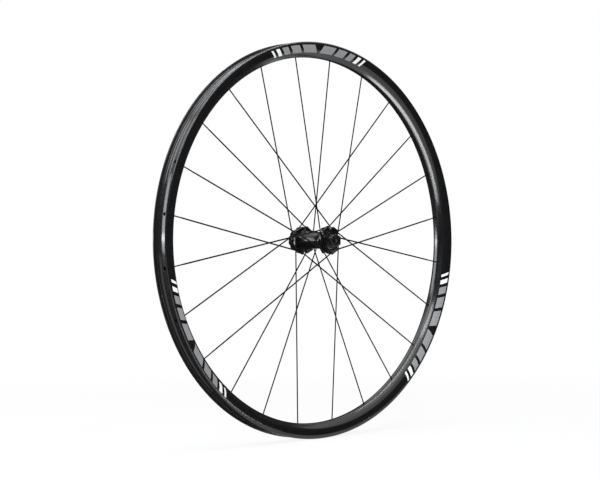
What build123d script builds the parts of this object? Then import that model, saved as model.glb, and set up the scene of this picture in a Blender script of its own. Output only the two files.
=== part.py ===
from build123d import *

import os
from math import acos, asin, cos, degrees, pi, radians, sin, tan

# Front bicycle wheel for a disc brake: a hollow carbon rim, 24 straight-pull bladed spokes and a
# through-axle hub on two sealed bearings.
# Frame: the origin is the middle of the axle, on the rim's centre plane. The axle runs along Y with
# the rotor side at +Y (the rider's left), +X is forwards and +Z is up. All sizes are in millimetres.

# Rim
BEAD_SEAT_DIAMETER = 622.0
BEAD_WALL_HEIGHT = 5.5
BEAD_WALL_THICKNESS = 3.5
RIM_INNER_WIDTH = 25.0
RIM_EDGE_CHAMFER = 1.5
SIDEWALL_STRAIGHT = 3.0
WELL_DEPTH = 3.0
WELL_FLOOR_WIDTH = 10.0
WELL_SLOPE_WIDTH = 3.0
RIM_WALL = 1.8
CAVITY_HEIGHT = 10.7
SPOKE_BED_WALL = 3.0
SPOKE_BED_WIDTH = 4.4
NOSE_RADIUS = 5.5
NOSE_TURN = 42.5
NOSE_FACETS = 2
SHOULDER_FACETS = 3
ACCESS_HOLE_CLEARANCE = 0.3
VALVE_HOLE_DIAMETER = 6.5
VALVE_ANGLE = -90.0

# Spokes and nipples. What repeats 24 times is eight-sided instead of round, to keep its faces few.
ROUND_SIDES = 8
SPOKES_PER_ROW = 6
SPOKE_DIAMETER = 2.0
SPOKE_HEAD_LEDGE = 0.9
SPOKE_HEAD_THICKNESS = 2.0
BLADE_WIDTH = 2.4
BLADE_THICKNESS = 1.4
BLADE_TAPER = 8.0
ROUND_AT_HUB = 16.0
ROUND_AT_RIM = 14.0
RIM_HOLE_CLEARANCE = 0.4
NIPPLE_WALL = 1.5
NIPPLE_LENGTH = 7.0
NIPPLE_NOSE_LENGTH = 1.2
NIPPLE_NOSE_WALL = 0.25
THREAD_CLEARANCE = 0.03
THREAD_ENGAGEMENT = 5.5

# Axle, bearings and end caps
AXLE_LENGTH = 100.0
AXLE_BORE_DIAMETER = 12.1
AXLE_WALL = 1.45
AXLE_SHOULDER_STEP = 1.2
AXLE_END_MARGIN = 3.0
BEARING_SECTION = 6.5
BEARING_WIDTH = 7.0
BEARING_INNER_RING_WALL = 2.1
BEARING_RUNNING_GAP = 0.05
PRESS_CLEARANCE = 0.01
CAP_STEP = 0.1
CAP_EDGE_CHAMFER = 0.8
DUST_FLANGE_HEIGHT = 4.0
DUST_FLANGE_THICKNESS = 1.4
DUST_FLANGE_GAP = 0.5

# Hub shell
LEFT_END_ROOM = 8.6
RIGHT_END_ROOM = 9.5
RIGHT_BEARING_RECESS = 0.5
AXLE_CLEARANCE = 1.8
BARREL_WALL = 3.0
BARREL_STRAIGHT = 9.0
FLARE_FACETS = 3
FLANGE_WALL = 2.5
FLANGE_MARGIN = 1.1
SPOKE_HOLE_CLEARANCE = 0.15
HEAD_CLEARANCE = 0.4
ROW_GAP = 0.4
TOOTH_SIDE = 0.2
TOOTH_CROWN = 0.9
TOOTH_FRONT = 9.0
TOOTH_BACK = 4.0
LOCKRING_THREAD_STEP = 0.9
LOCKRING_THREAD_LENGTH = 5.0
ROTOR_SPLINE_WALL = 1.15
ROTOR_SPLINE_DEPTH = 1.2
ROTOR_SPLINE_GAP = 4.0
ROTOR_SPLINE_COUNT = 12
ROTOR_SPLINE_LENGTH = 9.5
ROTOR_SHOULDER_HEIGHT = 2.75
ROTOR_SHOULDER_THICKNESS = 1.5

# Radii of the rim, from the bead seat outwards and then inwards
SEAT_RADIUS = BEAD_SEAT_DIAMETER / 2
RIM_RADIUS = SEAT_RADIUS + BEAD_WALL_HEIGHT
WIDEST_RADIUS = RIM_RADIUS - RIM_EDGE_CHAMFER - SIDEWALL_STRAIGHT
WELL_RADIUS = SEAT_RADIUS - WELL_DEPTH
ROOF_RADIUS = WELL_RADIUS - RIM_WALL
BED_INNER_RADIUS = ROOF_RADIUS - CAVITY_HEIGHT
BED_RADIUS = BED_INNER_RADIUS - SPOKE_BED_WALL
NOSE_CENTRE_RADIUS = BED_RADIUS + NOSE_RADIUS
RIM_HALF_WIDTH = RIM_INNER_WIDTH / 2 + BEAD_WALL_THICKNESS

# Sizes of what fits round a spoke
SPOKE_HEAD_DIAMETER = SPOKE_DIAMETER + 2 * SPOKE_HEAD_LEDGE
SPOKE_HOLE_DIAMETER = SPOKE_DIAMETER + 2 * SPOKE_HOLE_CLEARANCE
RIM_HOLE_DIAMETER = SPOKE_DIAMETER + 2 * RIM_HOLE_CLEARANCE
THREAD_DIAMETER = SPOKE_DIAMETER + 2 * THREAD_CLEARANCE
NIPPLE_DIAMETER = SPOKE_DIAMETER + 2 * NIPPLE_WALL
NIPPLE_NOSE_DIAMETER = SPOKE_DIAMETER + 2 * NIPPLE_NOSE_WALL
ACCESS_HOLE_DIAMETER = NIPPLE_DIAMETER + 2 * ACCESS_HOLE_CLEARANCE
TOOTH_THICKNESS = SPOKE_HEAD_DIAMETER + 2 * TOOTH_SIDE
TOOTH_TOP = SPOKE_HEAD_DIAMETER / 2 + TOOTH_CROWN

# Radii of the hub, from the axle's bore outwards
AXLE_BORE_RADIUS = AXLE_BORE_DIAMETER / 2
BEARING_BORE_RADIUS = AXLE_BORE_RADIUS + AXLE_WALL
INNER_RING_RADIUS = BEARING_BORE_RADIUS + BEARING_INNER_RING_WALL
CAP_RADIUS = INNER_RING_RADIUS - CAP_STEP
DUST_FLANGE_RADIUS = CAP_RADIUS + DUST_FLANGE_HEIGHT
AXLE_SHOULDER_RADIUS = BEARING_BORE_RADIUS + AXLE_SHOULDER_STEP
SHELL_BORE_RADIUS = AXLE_SHOULDER_RADIUS + AXLE_CLEARANCE
BARREL_RADIUS = SHELL_BORE_RADIUS + BARREL_WALL
BEARING_RADIUS = BEARING_BORE_RADIUS + BEARING_SECTION
LOCKRING_THREAD_RADIUS = BEARING_RADIUS + LOCKRING_THREAD_STEP
ROTOR_SPLINE_RADIUS = LOCKRING_THREAD_RADIUS + ROTOR_SPLINE_WALL + ROTOR_SPLINE_DEPTH
ROTOR_SHOULDER_RADIUS = ROTOR_SPLINE_RADIUS + ROTOR_SHOULDER_HEIGHT
FLANGE_RADIUS = BEARING_RADIUS + FLANGE_WALL
SPOKE_CIRCLE_RADIUS = FLANGE_RADIUS + HEAD_CLEARANCE + SPOKE_HEAD_DIAMETER / 2

# Places along the axle, from its ends inwards
HALF_AXLE = AXLE_LENGTH / 2
HALF_TUBE = HALF_AXLE - AXLE_END_MARGIN
ROW_SPACING = TOOTH_THICKNESS + ROW_GAP
FLANGE_HALF = (ROW_SPACING + TOOTH_THICKNESS) / 2 + FLANGE_MARGIN
SHELL_LEFT = HALF_AXLE - LEFT_END_ROOM
SPLINE_START = SHELL_LEFT - ROTOR_SPLINE_LENGTH
ROTOR_SHOULDER = SPLINE_START - ROTOR_SHOULDER_THICKNESS
LEFT_FLANGE = ROTOR_SHOULDER - FLANGE_HALF
LEFT_BEARING_FACE = SHELL_LEFT - LOCKRING_THREAD_LENGTH
SHELL_RIGHT = RIGHT_END_ROOM - HALF_AXLE
RIGHT_FLANGE = SHELL_RIGHT + FLANGE_HALF
RIGHT_BEARING_FACE = SHELL_RIGHT + RIGHT_BEARING_RECESS

# The spoke rows in their order round the rim: the place of a row along the axle, and its hand:
# +1 where a spoke leaves the hub clockwise as seen from the right side, -1 the other way.
ROWS = {
    "right_outer": (RIGHT_FLANGE - ROW_SPACING / 2, 1),
    "left_outer": (LEFT_FLANGE + ROW_SPACING / 2, 1),
    "right_inner": (RIGHT_FLANGE + ROW_SPACING / 2, -1),
    "left_inner": (LEFT_FLANGE - ROW_SPACING / 2, -1),
}
SPOKE_PITCH = 360 / (len(ROWS) * SPOKES_PER_ROW)
FIRST_ANGLE = VALVE_ANGLE + SPOKE_PITCH / 2


def polar(radius, angle, y=0.0):
    """The point at a radius and an angle about the axle, 0 degrees forwards and 90 up."""
    return Vector(radius * cos(radians(angle)), y, radius * sin(radians(angle)))


def turned(*points):
    """The solid of revolution about the axle of an outline given as (radius, place along the axle)."""
    outline = make_face(Polyline(*points, close=True))
    return revolve(outline, Axis.Y)


def ring(inner_radius, outer_radius, start, end):
    """A plain ring about the axle."""
    return turned((inner_radius, start), (outer_radius, start), (outer_radius, end), (inner_radius, end))


def many_sided(width, thickness):
    """A regular outline between flats, stretched to a width and a thickness."""
    half_step = pi / ROUND_SIDES
    corners = [half_step * (2 * corner + 1) for corner in range(ROUND_SIDES)]
    reach = 2 * cos(half_step)
    points = [(width * cos(a) / reach, thickness * sin(a) / reach) for a in corners]
    return make_face(Polyline(*points, close=True))


class SpokeLine:
    """The straight line of one spoke, from its foot beside the axle to the middle of the spoke bed."""

    def __init__(self, row, number):
        place, self.hand = ROWS[row]
        step = number * len(ROWS) + list(ROWS).index(row)
        self.rim_angle = FIRST_ANGLE + step * SPOKE_PITCH
        foot_angle = self.rim_angle + self.hand * degrees(acos(SPOKE_CIRCLE_RADIUS / BED_RADIUS))
        foot = polar(SPOKE_CIRCLE_RADIUS, foot_angle, place)
        run = polar(BED_RADIUS, self.rim_angle) - foot
        self.length = run.length
        self.lean = radians(run.get_angle(polar(1, self.rim_angle)))
        self.plane = Plane(foot, x_dir=Vector(0, 1, 0).cross(run), z_dir=run)

    def nipple_seat(self):
        """The distance from the foot at which a nipple rests on the edge of its hole in the rim."""
        return self.length + SPOKE_BED_WALL / cos(self.lean) + RIM_HOLE_DIAMETER / 2 * tan(self.lean)


SPOKE_LINES = {
    f"{row}_{number + 1}": SpokeLine(row, number) for row in ROWS for number in range(SPOKES_PER_ROW)
}


# Rim: a revolved hollow section with its drilled holes


def shoulder_radius():
    """The shoulder's radius that makes the flank tangent to the nose and to the straight sidewall."""
    turn = radians(NOSE_TURN)
    rise = WIDEST_RADIUS - NOSE_CENTRE_RADIUS
    spread = RIM_HALF_WIDTH - SPOKE_BED_WIDTH / 2
    return (NOSE_RADIUS + rise * cos(turn) - spread * sin(turn)) / (1 - sin(turn))


def arc_points(centre, radius, start, sweep, facets):
    """Points along an arc, a few facets apart to keep the revolved faces few."""
    angles = [start + sweep * step / facets for step in range(facets + 1)]
    return [(centre[0] + radius * cos(a), centre[1] + radius * sin(a)) for a in angles]


def both_sides(left_half):
    """A closed section from its left half, given as (radius, place along the axle)."""
    right_half = [(radius, -place) for radius, place in reversed(left_half)]
    return make_face(Polyline(*left_half, *right_half, close=True))


def rim_outer_section():
    """Well, shelves, bead walls, shoulders, flanks and the rounded nose with its flat spoke bed."""
    turn = radians(NOSE_TURN)
    shoulder = shoulder_radius()
    shoulder_centre = (WIDEST_RADIUS, RIM_HALF_WIDTH - shoulder)
    nose_centre = (NOSE_CENTRE_RADIUS, SPOKE_BED_WIDTH / 2)
    half_well = WELL_FLOOR_WIDTH / 2
    half_inner = RIM_INNER_WIDTH / 2
    return both_sides(
        [
            (WELL_RADIUS, half_well),
            (SEAT_RADIUS, half_well + WELL_SLOPE_WIDTH),
            (SEAT_RADIUS, half_inner),
            (RIM_RADIUS, half_inner),
            (RIM_RADIUS, RIM_HALF_WIDTH - RIM_EDGE_CHAMFER),
            (RIM_RADIUS - RIM_EDGE_CHAMFER, RIM_HALF_WIDTH),
            *arc_points(shoulder_centre, shoulder, pi / 2, pi / 2 - turn, SHOULDER_FACETS),
            *arc_points(nose_centre, NOSE_RADIUS, pi - turn, turn, NOSE_FACETS),
        ]
    )


def flank_half_width(radius):
    """Half the width of the hollow between its flanks, a wall's thickness inside the outer ones."""
    turn = radians(NOSE_TURN)
    height = (radius - NOSE_CENTRE_RADIUS) * cos(turn)
    return SPOKE_BED_WIDTH / 2 + (NOSE_RADIUS - RIM_WALL + height) / sin(turn)


def rim_cavity_section():
    """The hollow of the rim: a flat spoke bed, the two flanks, bead walls and a flat roof."""
    flanks = both_sides(
        [
            (BED_INNER_RADIUS, flank_half_width(BED_INNER_RADIUS)),
            (ROOF_RADIUS, flank_half_width(ROOF_RADIUS)),
        ]
    )
    between_bead_walls = Rectangle(2 * ROOF_RADIUS, RIM_INNER_WIDTH)
    return flanks & between_bead_walls


def radial_hole(outline, angle, start, end):
    """A hole of a given outline, from one radius to another at an angle about the axle."""
    at_start = Plane(polar(start, angle), x_dir=(0, 1, 0), z_dir=polar(1, angle))
    return extrude(at_start * outline, end - start)


def make_rim():
    access_outline = many_sided(ACCESS_HOLE_DIAMETER, ACCESS_HOLE_DIAMETER)
    spoke_outline = many_sided(RIM_HOLE_DIAMETER, RIM_HOLE_DIAMETER)
    in_cavity = (BED_INNER_RADIUS + ROOF_RADIUS) / 2
    # A spoke's hole starts below the bed and ends in the hollow, also where the spoke leans.
    reach = SPOKE_BED_WALL + CAVITY_HEIGHT / 2
    valve_outline = Circle(VALVE_HOLE_DIAMETER / 2)
    holes = [radial_hole(valve_outline, VALVE_ANGLE, BED_RADIUS - SPOKE_BED_WALL, RIM_RADIUS)]
    for line in SPOKE_LINES.values():
        spoke_hole = extrude(Pos(0, 0, line.length - reach) * spoke_outline, 2 * reach)
        holes.append(line.plane.location * spoke_hole)
        holes.append(radial_hole(access_outline, line.rim_angle, in_cavity, RIM_RADIUS))
    return revolve(rim_outer_section(), Axis.Y) - revolve(rim_cavity_section(), Axis.Y) - holes


# Spokes and nipples


def make_spoke(line):
    """One spoke: a headed round end in the hub, a flat blade and a round threaded end in the nipple."""
    tip = line.nipple_seat() + THREAD_ENGAGEMENT
    round_part = many_sided(SPOKE_DIAMETER, SPOKE_DIAMETER)
    blade = many_sided(BLADE_WIDTH, BLADE_THICKNESS)
    blade_end = line.length - ROUND_AT_RIM
    stations = [
        Pos(0, 0, -TOOTH_BACK) * round_part,
        Pos(0, 0, ROUND_AT_HUB) * round_part,
        Pos(0, 0, ROUND_AT_HUB + BLADE_TAPER) * blade,
        Pos(0, 0, blade_end - BLADE_TAPER) * blade,
        Pos(0, 0, blade_end) * round_part,
        Pos(0, 0, tip) * round_part,
    ]
    head_outline = many_sided(SPOKE_HEAD_DIAMETER, SPOKE_HEAD_DIAMETER)
    head = extrude(Pos(0, 0, -TOOTH_BACK) * head_outline, -SPOKE_HEAD_THICKNESS)
    return line.plane.location * (loft(stations, ruled=True) + head)


def make_nipple(line):
    """One nipple with a tapered nose that centres itself in its hole in the rim."""
    # The nose meets the edge of the hole where it has grown to the size of the hole.
    nose_growth = NIPPLE_DIAMETER - NIPPLE_NOSE_DIAMETER
    to_seat = NIPPLE_NOSE_LENGTH * (RIM_HOLE_DIAMETER - NIPPLE_NOSE_DIAMETER) / nose_growth
    base = line.nipple_seat() - to_seat
    body = many_sided(NIPPLE_DIAMETER, NIPPLE_DIAMETER)
    stations = [
        Pos(0, 0, base) * many_sided(NIPPLE_NOSE_DIAMETER, NIPPLE_NOSE_DIAMETER),
        Pos(0, 0, base + NIPPLE_NOSE_LENGTH) * body,
        Pos(0, 0, base + NIPPLE_LENGTH) * body,
    ]
    bore = extrude(Pos(0, 0, base) * many_sided(THREAD_DIAMETER, THREAD_DIAMETER), NIPPLE_LENGTH)
    return line.plane.location * (loft(stations, ruled=True) - bore)


# Hub shell: a turned body with four rows of milled teeth, the spoke holes and the rotor spline


def make_tooth(line):
    """One tooth of a flange, square to its spoke: the head bears on its back face."""
    height = SPOKE_CIRCLE_RADIUS - BARREL_RADIUS + TOOTH_TOP
    middle = TOOTH_TOP - height / 2
    outline = Pos(-line.hand * middle, 0, -TOOTH_BACK) * Rectangle(height, TOOTH_THICKNESS)
    return line.plane.location * extrude(outline, TOOTH_FRONT + TOOTH_BACK)


def barrel_points():
    """The barrel's outline: a straight middle, and on both sides an arc that rises to the flange."""
    left_start = LEFT_FLANGE - FLANGE_HALF
    right_start = RIGHT_FLANGE + FLANGE_HALF
    middle = (left_start + right_start) / 2
    length = (left_start - right_start - BARREL_STRAIGHT) / 2
    rise = FLANGE_RADIUS - BARREL_RADIUS
    radius = (length**2 + rise**2) / (2 * rise)
    turn = asin(length / radius)
    axis_radius = BARREL_RADIUS + radius
    right_centre = (axis_radius, middle - BARREL_STRAIGHT / 2)
    left_centre = (axis_radius, middle + BARREL_STRAIGHT / 2)
    return [
        *arc_points(right_centre, radius, turn - pi, -turn, FLARE_FACETS),
        *arc_points(left_centre, radius, pi, -turn, FLARE_FACETS),
    ]


def shell_body():
    """The turned outside of the shell: right end, barrel with its flares, rotor shoulder and spline."""
    return turned(
        (0, SHELL_RIGHT),
        (FLANGE_RADIUS, SHELL_RIGHT),
        *barrel_points(),
        (FLANGE_RADIUS, ROTOR_SHOULDER),
        (ROTOR_SHOULDER_RADIUS, ROTOR_SHOULDER),
        (ROTOR_SHOULDER_RADIUS, SPLINE_START),
        (ROTOR_SPLINE_RADIUS, SPLINE_START),
        (ROTOR_SPLINE_RADIUS, SHELL_LEFT),
        (0, SHELL_LEFT),
    )


def shell_bores():
    """The stepped bore: bearing seats, the room round the axle and the lockring thread."""
    seat_radius = BEARING_RADIUS + PRESS_CLEARANCE
    left_seat_end = LEFT_BEARING_FACE - BEARING_WIDTH
    right_seat_end = RIGHT_BEARING_FACE + BEARING_WIDTH
    return turned(
        (0, SHELL_RIGHT),
        (seat_radius, SHELL_RIGHT),
        (seat_radius, right_seat_end),
        (SHELL_BORE_RADIUS, right_seat_end),
        (SHELL_BORE_RADIUS, left_seat_end),
        (seat_radius, left_seat_end),
        (seat_radius, LEFT_BEARING_FACE),
        (LOCKRING_THREAD_RADIUS, LEFT_BEARING_FACE),
        (LOCKRING_THREAD_RADIUS, SHELL_LEFT),
        (0, SHELL_LEFT),
    )


def spline_gaps():
    """The gaps between the splines that carry the rotor."""
    gap = Pos(ROTOR_SPLINE_RADIUS, 0) * Rectangle(2 * ROTOR_SPLINE_DEPTH, ROTOR_SPLINE_GAP)
    outline = Sketch() + PolarLocations(0, ROTOR_SPLINE_COUNT) * gap
    return extrude(Plane.XZ.offset(-SPLINE_START) * outline, -ROTOR_SPLINE_LENGTH)


def make_hub_shell():
    shell = shell_body() + [make_tooth(line) for line in SPOKE_LINES.values()]
    # A spoke's hole runs as far as its round part, so it also clears the tooth that it passes.
    hole_outline = Pos(0, 0, -TOOTH_BACK) * many_sided(SPOKE_HOLE_DIAMETER, SPOKE_HOLE_DIAMETER)
    hole = extrude(hole_outline, TOOTH_BACK + ROUND_AT_HUB)
    holes = [line.plane.location * hole for line in SPOKE_LINES.values()]
    return shell - shell_bores() - spline_gaps() - holes


# Bearings, axle and end caps


def make_bearing(face, inwards):
    """A sealed bearing from its outward face: the outer ring with its seals, and the inner ring."""
    far_face = face + inwards * BEARING_WIDTH
    outer_ring = ring(INNER_RING_RADIUS + BEARING_RUNNING_GAP, BEARING_RADIUS, face, far_face)
    inner_ring = ring(BEARING_BORE_RADIUS, INNER_RING_RADIUS, face, far_face)
    return outer_ring, inner_ring


def make_axle():
    """The axle tube, with a raised middle that spaces the two inner rings."""
    seat_radius = BEARING_BORE_RADIUS - PRESS_CLEARANCE
    left_shoulder = LEFT_BEARING_FACE - BEARING_WIDTH
    right_shoulder = RIGHT_BEARING_FACE + BEARING_WIDTH
    return turned(
        (AXLE_BORE_RADIUS, -HALF_TUBE),
        (seat_radius, -HALF_TUBE),
        (seat_radius, right_shoulder),
        (AXLE_SHOULDER_RADIUS, right_shoulder),
        (AXLE_SHOULDER_RADIUS, left_shoulder),
        (seat_radius, left_shoulder),
        (seat_radius, HALF_TUBE),
        (AXLE_BORE_RADIUS, HALF_TUBE),
    )


def cap_bore(side, start):
    """The inner outline of an end cap: from its end face down the bore, over the axle's end."""
    return [
        (AXLE_BORE_RADIUS, side * HALF_AXLE),
        (AXLE_BORE_RADIUS, side * HALF_TUBE),
        (BEARING_BORE_RADIUS, side * HALF_TUBE),
        (BEARING_BORE_RADIUS, start),
    ]


def cap_end(side):
    """The outer outline of an end cap at the face that the fork clamps."""
    return [
        (CAP_RADIUS, side * (HALF_AXLE - CAP_EDGE_CHAMFER)),
        (CAP_RADIUS - CAP_EDGE_CHAMFER, side * HALF_AXLE),
    ]


def make_left_cap():
    return turned(*cap_bore(1, LEFT_BEARING_FACE), (CAP_RADIUS, LEFT_BEARING_FACE), *cap_end(1))


def make_right_cap():
    """The right cap also has the flange that covers the bearing and the shell's mouth."""
    flange_start = SHELL_RIGHT - DUST_FLANGE_GAP
    flange_end = flange_start - DUST_FLANGE_THICKNESS
    flange = [
        (CAP_RADIUS, RIGHT_BEARING_FACE),
        (CAP_RADIUS, flange_start),
        (DUST_FLANGE_RADIUS, flange_start),
        (DUST_FLANGE_RADIUS, flange_end),
        (CAP_RADIUS, flange_end),
    ]
    return turned(*cap_bore(-1, RIGHT_BEARING_FACE), *flange, *cap_end(-1))


def write(name, shape):
    shape.label = name
    export_step(shape, os.path.join("parts", name + ".step"))


def main():
    os.makedirs("parts", exist_ok=True)
    write("rim", make_rim())
    for name, line in SPOKE_LINES.items():
        write("spoke_" + name, make_spoke(line))
    write("nipples", Compound(children=[make_nipple(line) for line in SPOKE_LINES.values()]))
    write("hub_shell", make_hub_shell())
    left_outer_ring, left_inner_ring = make_bearing(LEFT_BEARING_FACE, -1)
    right_outer_ring, right_inner_ring = make_bearing(RIGHT_BEARING_FACE, 1)
    write("left_bearing_outer_ring", left_outer_ring)
    write("left_bearing_inner_ring", left_inner_ring)
    write("right_bearing_outer_ring", right_outer_ring)
    write("right_bearing_inner_ring", right_inner_ring)
    write("axle", make_axle())
    write("left_end_cap", make_left_cap())
    write("right_end_cap", make_right_cap())


main()
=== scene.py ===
"""Looks of a front bicycle wheel, built round its packed solids.

All lengths are in metres, in the frame of the solids: the axle along Y, +X forwards and +Z up.
"""

from math import atan2, cos, hypot, pi, radians, sin

import bmesh
import bpy
from bpy.props import FloatProperty, FloatVectorProperty, IntProperty, PointerProperty
from mathutils import Matrix, Vector


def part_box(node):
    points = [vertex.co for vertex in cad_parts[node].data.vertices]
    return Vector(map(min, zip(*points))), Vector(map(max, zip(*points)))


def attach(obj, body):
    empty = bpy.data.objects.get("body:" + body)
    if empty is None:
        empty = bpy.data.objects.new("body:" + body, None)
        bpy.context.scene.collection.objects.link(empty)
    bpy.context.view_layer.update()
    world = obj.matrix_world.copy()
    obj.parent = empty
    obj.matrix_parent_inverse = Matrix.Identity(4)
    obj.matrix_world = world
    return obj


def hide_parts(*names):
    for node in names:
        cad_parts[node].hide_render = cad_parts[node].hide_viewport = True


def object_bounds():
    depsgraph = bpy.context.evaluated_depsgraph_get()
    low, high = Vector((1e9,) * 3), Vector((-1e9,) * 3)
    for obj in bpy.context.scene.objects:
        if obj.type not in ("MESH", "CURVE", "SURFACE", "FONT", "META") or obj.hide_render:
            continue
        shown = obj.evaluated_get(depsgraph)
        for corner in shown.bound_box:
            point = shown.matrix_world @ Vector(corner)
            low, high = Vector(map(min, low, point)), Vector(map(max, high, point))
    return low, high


bl_info = {
    "name": "Bicycle Wheel Looks",
    "version": (1, 0, 0),
    "blender": (4, 5, 0),
    "location": "3D View > Sidebar > Wheel",
    "description": "Dresses a spoked bicycle wheel: rim, rim marks, spokes, hub and stage",
    "category": "Object",
}

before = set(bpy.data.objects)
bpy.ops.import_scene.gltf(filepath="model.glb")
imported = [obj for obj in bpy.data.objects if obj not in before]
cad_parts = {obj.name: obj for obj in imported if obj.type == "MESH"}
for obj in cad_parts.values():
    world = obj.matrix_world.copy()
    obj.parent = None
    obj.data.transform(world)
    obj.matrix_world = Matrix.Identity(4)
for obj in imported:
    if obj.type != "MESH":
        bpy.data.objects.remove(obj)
CAD_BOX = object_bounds()
MM = 0.001
FULL_TURN = 2 * pi
AXLE = Vector((0, 1, 0))
RIM_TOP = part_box("rim")[1]
SPOKE_NODES = sorted(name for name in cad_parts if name.startswith("spoke_"))
# The solid spokes have eight sides, and two of their points are one where seven digits agree.
SOLID_SIDES = 8
PLACE_DIGITS = 7
# Points within MERGE are one, a corner is found within NEAR, and faces within FLAT are one flat face.
MERGE = 0.001 * MM
NEAR = 0.01 * MM
FLAT = radians(0.5)
# Edges sharper than SMOOTH stay crisp. A rounding and a broken edge have this many facets.
SMOOTH = radians(30)
ROUNDING_STEPS = 4
EDGE_STEPS = 2


# Sizes and colours that a user would change


def length(name, description, value):
    """A length in metres, shown in Blender's own units."""
    return FloatProperty(
        name=name, description=description, default=value, min=0, unit="LENGTH", precision=5
    )


def angle(name, description, degrees):
    """An angle, given in degrees."""
    value = radians(degrees)
    return FloatProperty(name=name, description=description, default=value, unit="ROTATION")


def colour(name, description, value):
    """A linear colour."""
    return FloatVectorProperty(
        name=name, description=description, default=value, subtype="COLOR", min=0, max=1
    )


class RimSizes(bpy.types.PropertyGroup):
    """The rim's section and holes"""

    radius: length("Radius", "Radius of the bead walls' tops", RIM_TOP.z)
    half_width: length("Half width", "Half the width over the sidewalls", RIM_TOP.y)
    wall_height: length("Bead wall height", "Height of a bead wall over the shelf", 5.5 * MM)
    wall: length("Bead wall", "Thickness of a bead wall", 3.5 * MM)
    edge: length("Edge", "Size of the slanted outer edge before it is rounded", 1.5 * MM)
    straight: length("Straight", "Height of the straight part of a sidewall", 3 * MM)
    depth: length("Depth", "From the bead walls' tops to the spoke bed", 24 * MM)
    bed_width: length("Spoke bed width", "Width of the flat spoke bed", 4.4 * MM)
    nose_radius: length("Nose radius", "Radius between the spoke bed and a flank", 5.5 * MM)
    nose_turn: angle("Nose turn", "How far the nose turns before a flank starts", 42.5)
    well_depth: length("Well depth", "Depth of the well below the shelves", 3 * MM)
    well_width: length("Well width", "Width of the well's floor", 10 * MM)
    well_slope: length("Well slope", "Width of a slope of the well", 3 * MM)
    well_rounding: length("Well rounding", "Rounding of the edges of the well's floor", 1.5 * MM)
    slope_rounding: length("Slope rounding", "Rounding where a slope meets its shelf", 1.2 * MM)
    seat_rounding: length("Seat rounding", "Rounding between a shelf and its bead wall", 0.9 * MM)
    top_rounding: length("Top rounding", "Rounding of a bead wall's inner top edge", 0.7 * MM)
    edge_rounding: length("Edge rounding", "Rounding of both corners of the outer edge", 0.85 * MM)
    skin: length("Skin", "Thickness of the walls of the hollow", 1.8 * MM)
    bed_skin: length("Bed skin", "Thickness of the spoke bed", 3 * MM)
    access_hole: length("Access hole", "Radius of a nipple's hole in the tyre bed", 2.8 * MM)
    spoke_hole: length("Spoke hole", "Radius of a spoke's hole in the spoke bed", 1.4 * MM)
    valve_hole: length("Valve hole", "Radius of the valve's hole", 3.25 * MM)
    valve_angle: angle("Valve angle", "Place of the valve's hole, 0 forwards and 90 up", -90)
    steps: IntProperty(name="Steps", description="Steps of the turned rim", default=288, min=24)


class MarkSizes(bpy.types.PropertyGroup):
    """The slanted bars on the sidewalls"""

    inner: length("Inner radius", "Radius at which a bar starts", 299.5 * MM)
    outer: length("Outer radius", "Radius at which a bar ends", 311.5 * MM)
    slant: angle("Slant", "How far the outer end of a bar runs ahead of the inner one", 1.3)
    gap: angle("Gap", "Angle between two bars", 1.1)
    first: angle("First group", "Place of the middle of the first group of bars", 90)
    lift: length("Lift", "Height of the film over the rim", 0.05 * MM)


class SpokeSizes(bpy.types.PropertyGroup):
    """One spoke, from its head to its threaded end"""

    radius: length("Radius", "Radius of the round ends", 1 * MM)
    head_radius: length("Head radius", "Radius of the head", 1.9 * MM)
    head: length("Head", "Thickness of the head", 2 * MM)
    blade_width: length("Blade width", "Half the width of the blade", 1.2 * MM)
    blade_thickness: length("Blade thickness", "Half the thickness of the blade", 0.7 * MM)
    round_at_hub: length("Round at the hub", "From the head's end to the first taper", 22 * MM)
    taper: length("Taper", "Length of the change from round to blade", 8 * MM)
    round_at_rim: length("Round at the rim", "From the tip to the second taper", 22.6 * MM)
    sides: IntProperty(name="Sides", description="Sides of a spoke", default=16, min=8)


class HubSizes(bpy.types.PropertyGroup):
    """Edges of the hub's pieces"""

    shell_edge: length("Shell edges", "Width of the broken edges of the shell", 0.25 * MM)
    turned_edge: length("Turned edges", "Width of the broken edges of the turned pieces", 0.2 * MM)
    sharp: angle("Sharp", "Edges sharper than this are broken", 32)


class Finishes(bpy.types.PropertyGroup):
    """Colours of the finishes"""

    carbon: colour("Carbon", "Lacquered carbon of the rim", (0.006, 0.006, 0.0065))
    bar: colour("Bars", "Film of the large bars", (0.24, 0.24, 0.245))
    accent: colour("Accent", "Film of the small bars", (0.78, 0.78, 0.78))
    spoke: colour("Spokes", "Blackened steel of the spokes", (0.004, 0.004, 0.0045))
    hub: colour("Hub", "Black anodised hub", (0.003, 0.003, 0.0032))
    cap: colour("End caps", "Black anodised end caps", (0.005, 0.005, 0.0052))
    alloy: colour("Alloy", "Bare alloy of the axle and nipples", (0.45, 0.45, 0.46))
    steel: colour("Steel", "Ground steel of the bearings", (0.50, 0.50, 0.51))
    seal: colour("Seals", "Rubber seals of the bearings", (0.015, 0.015, 0.016))
    floor: colour("Floor", "Paper of the floor", (0.7, 0.7, 0.7))
    screen: colour("Screens", "Cloth of the dark screens", (0.01, 0.01, 0.01))


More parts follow.
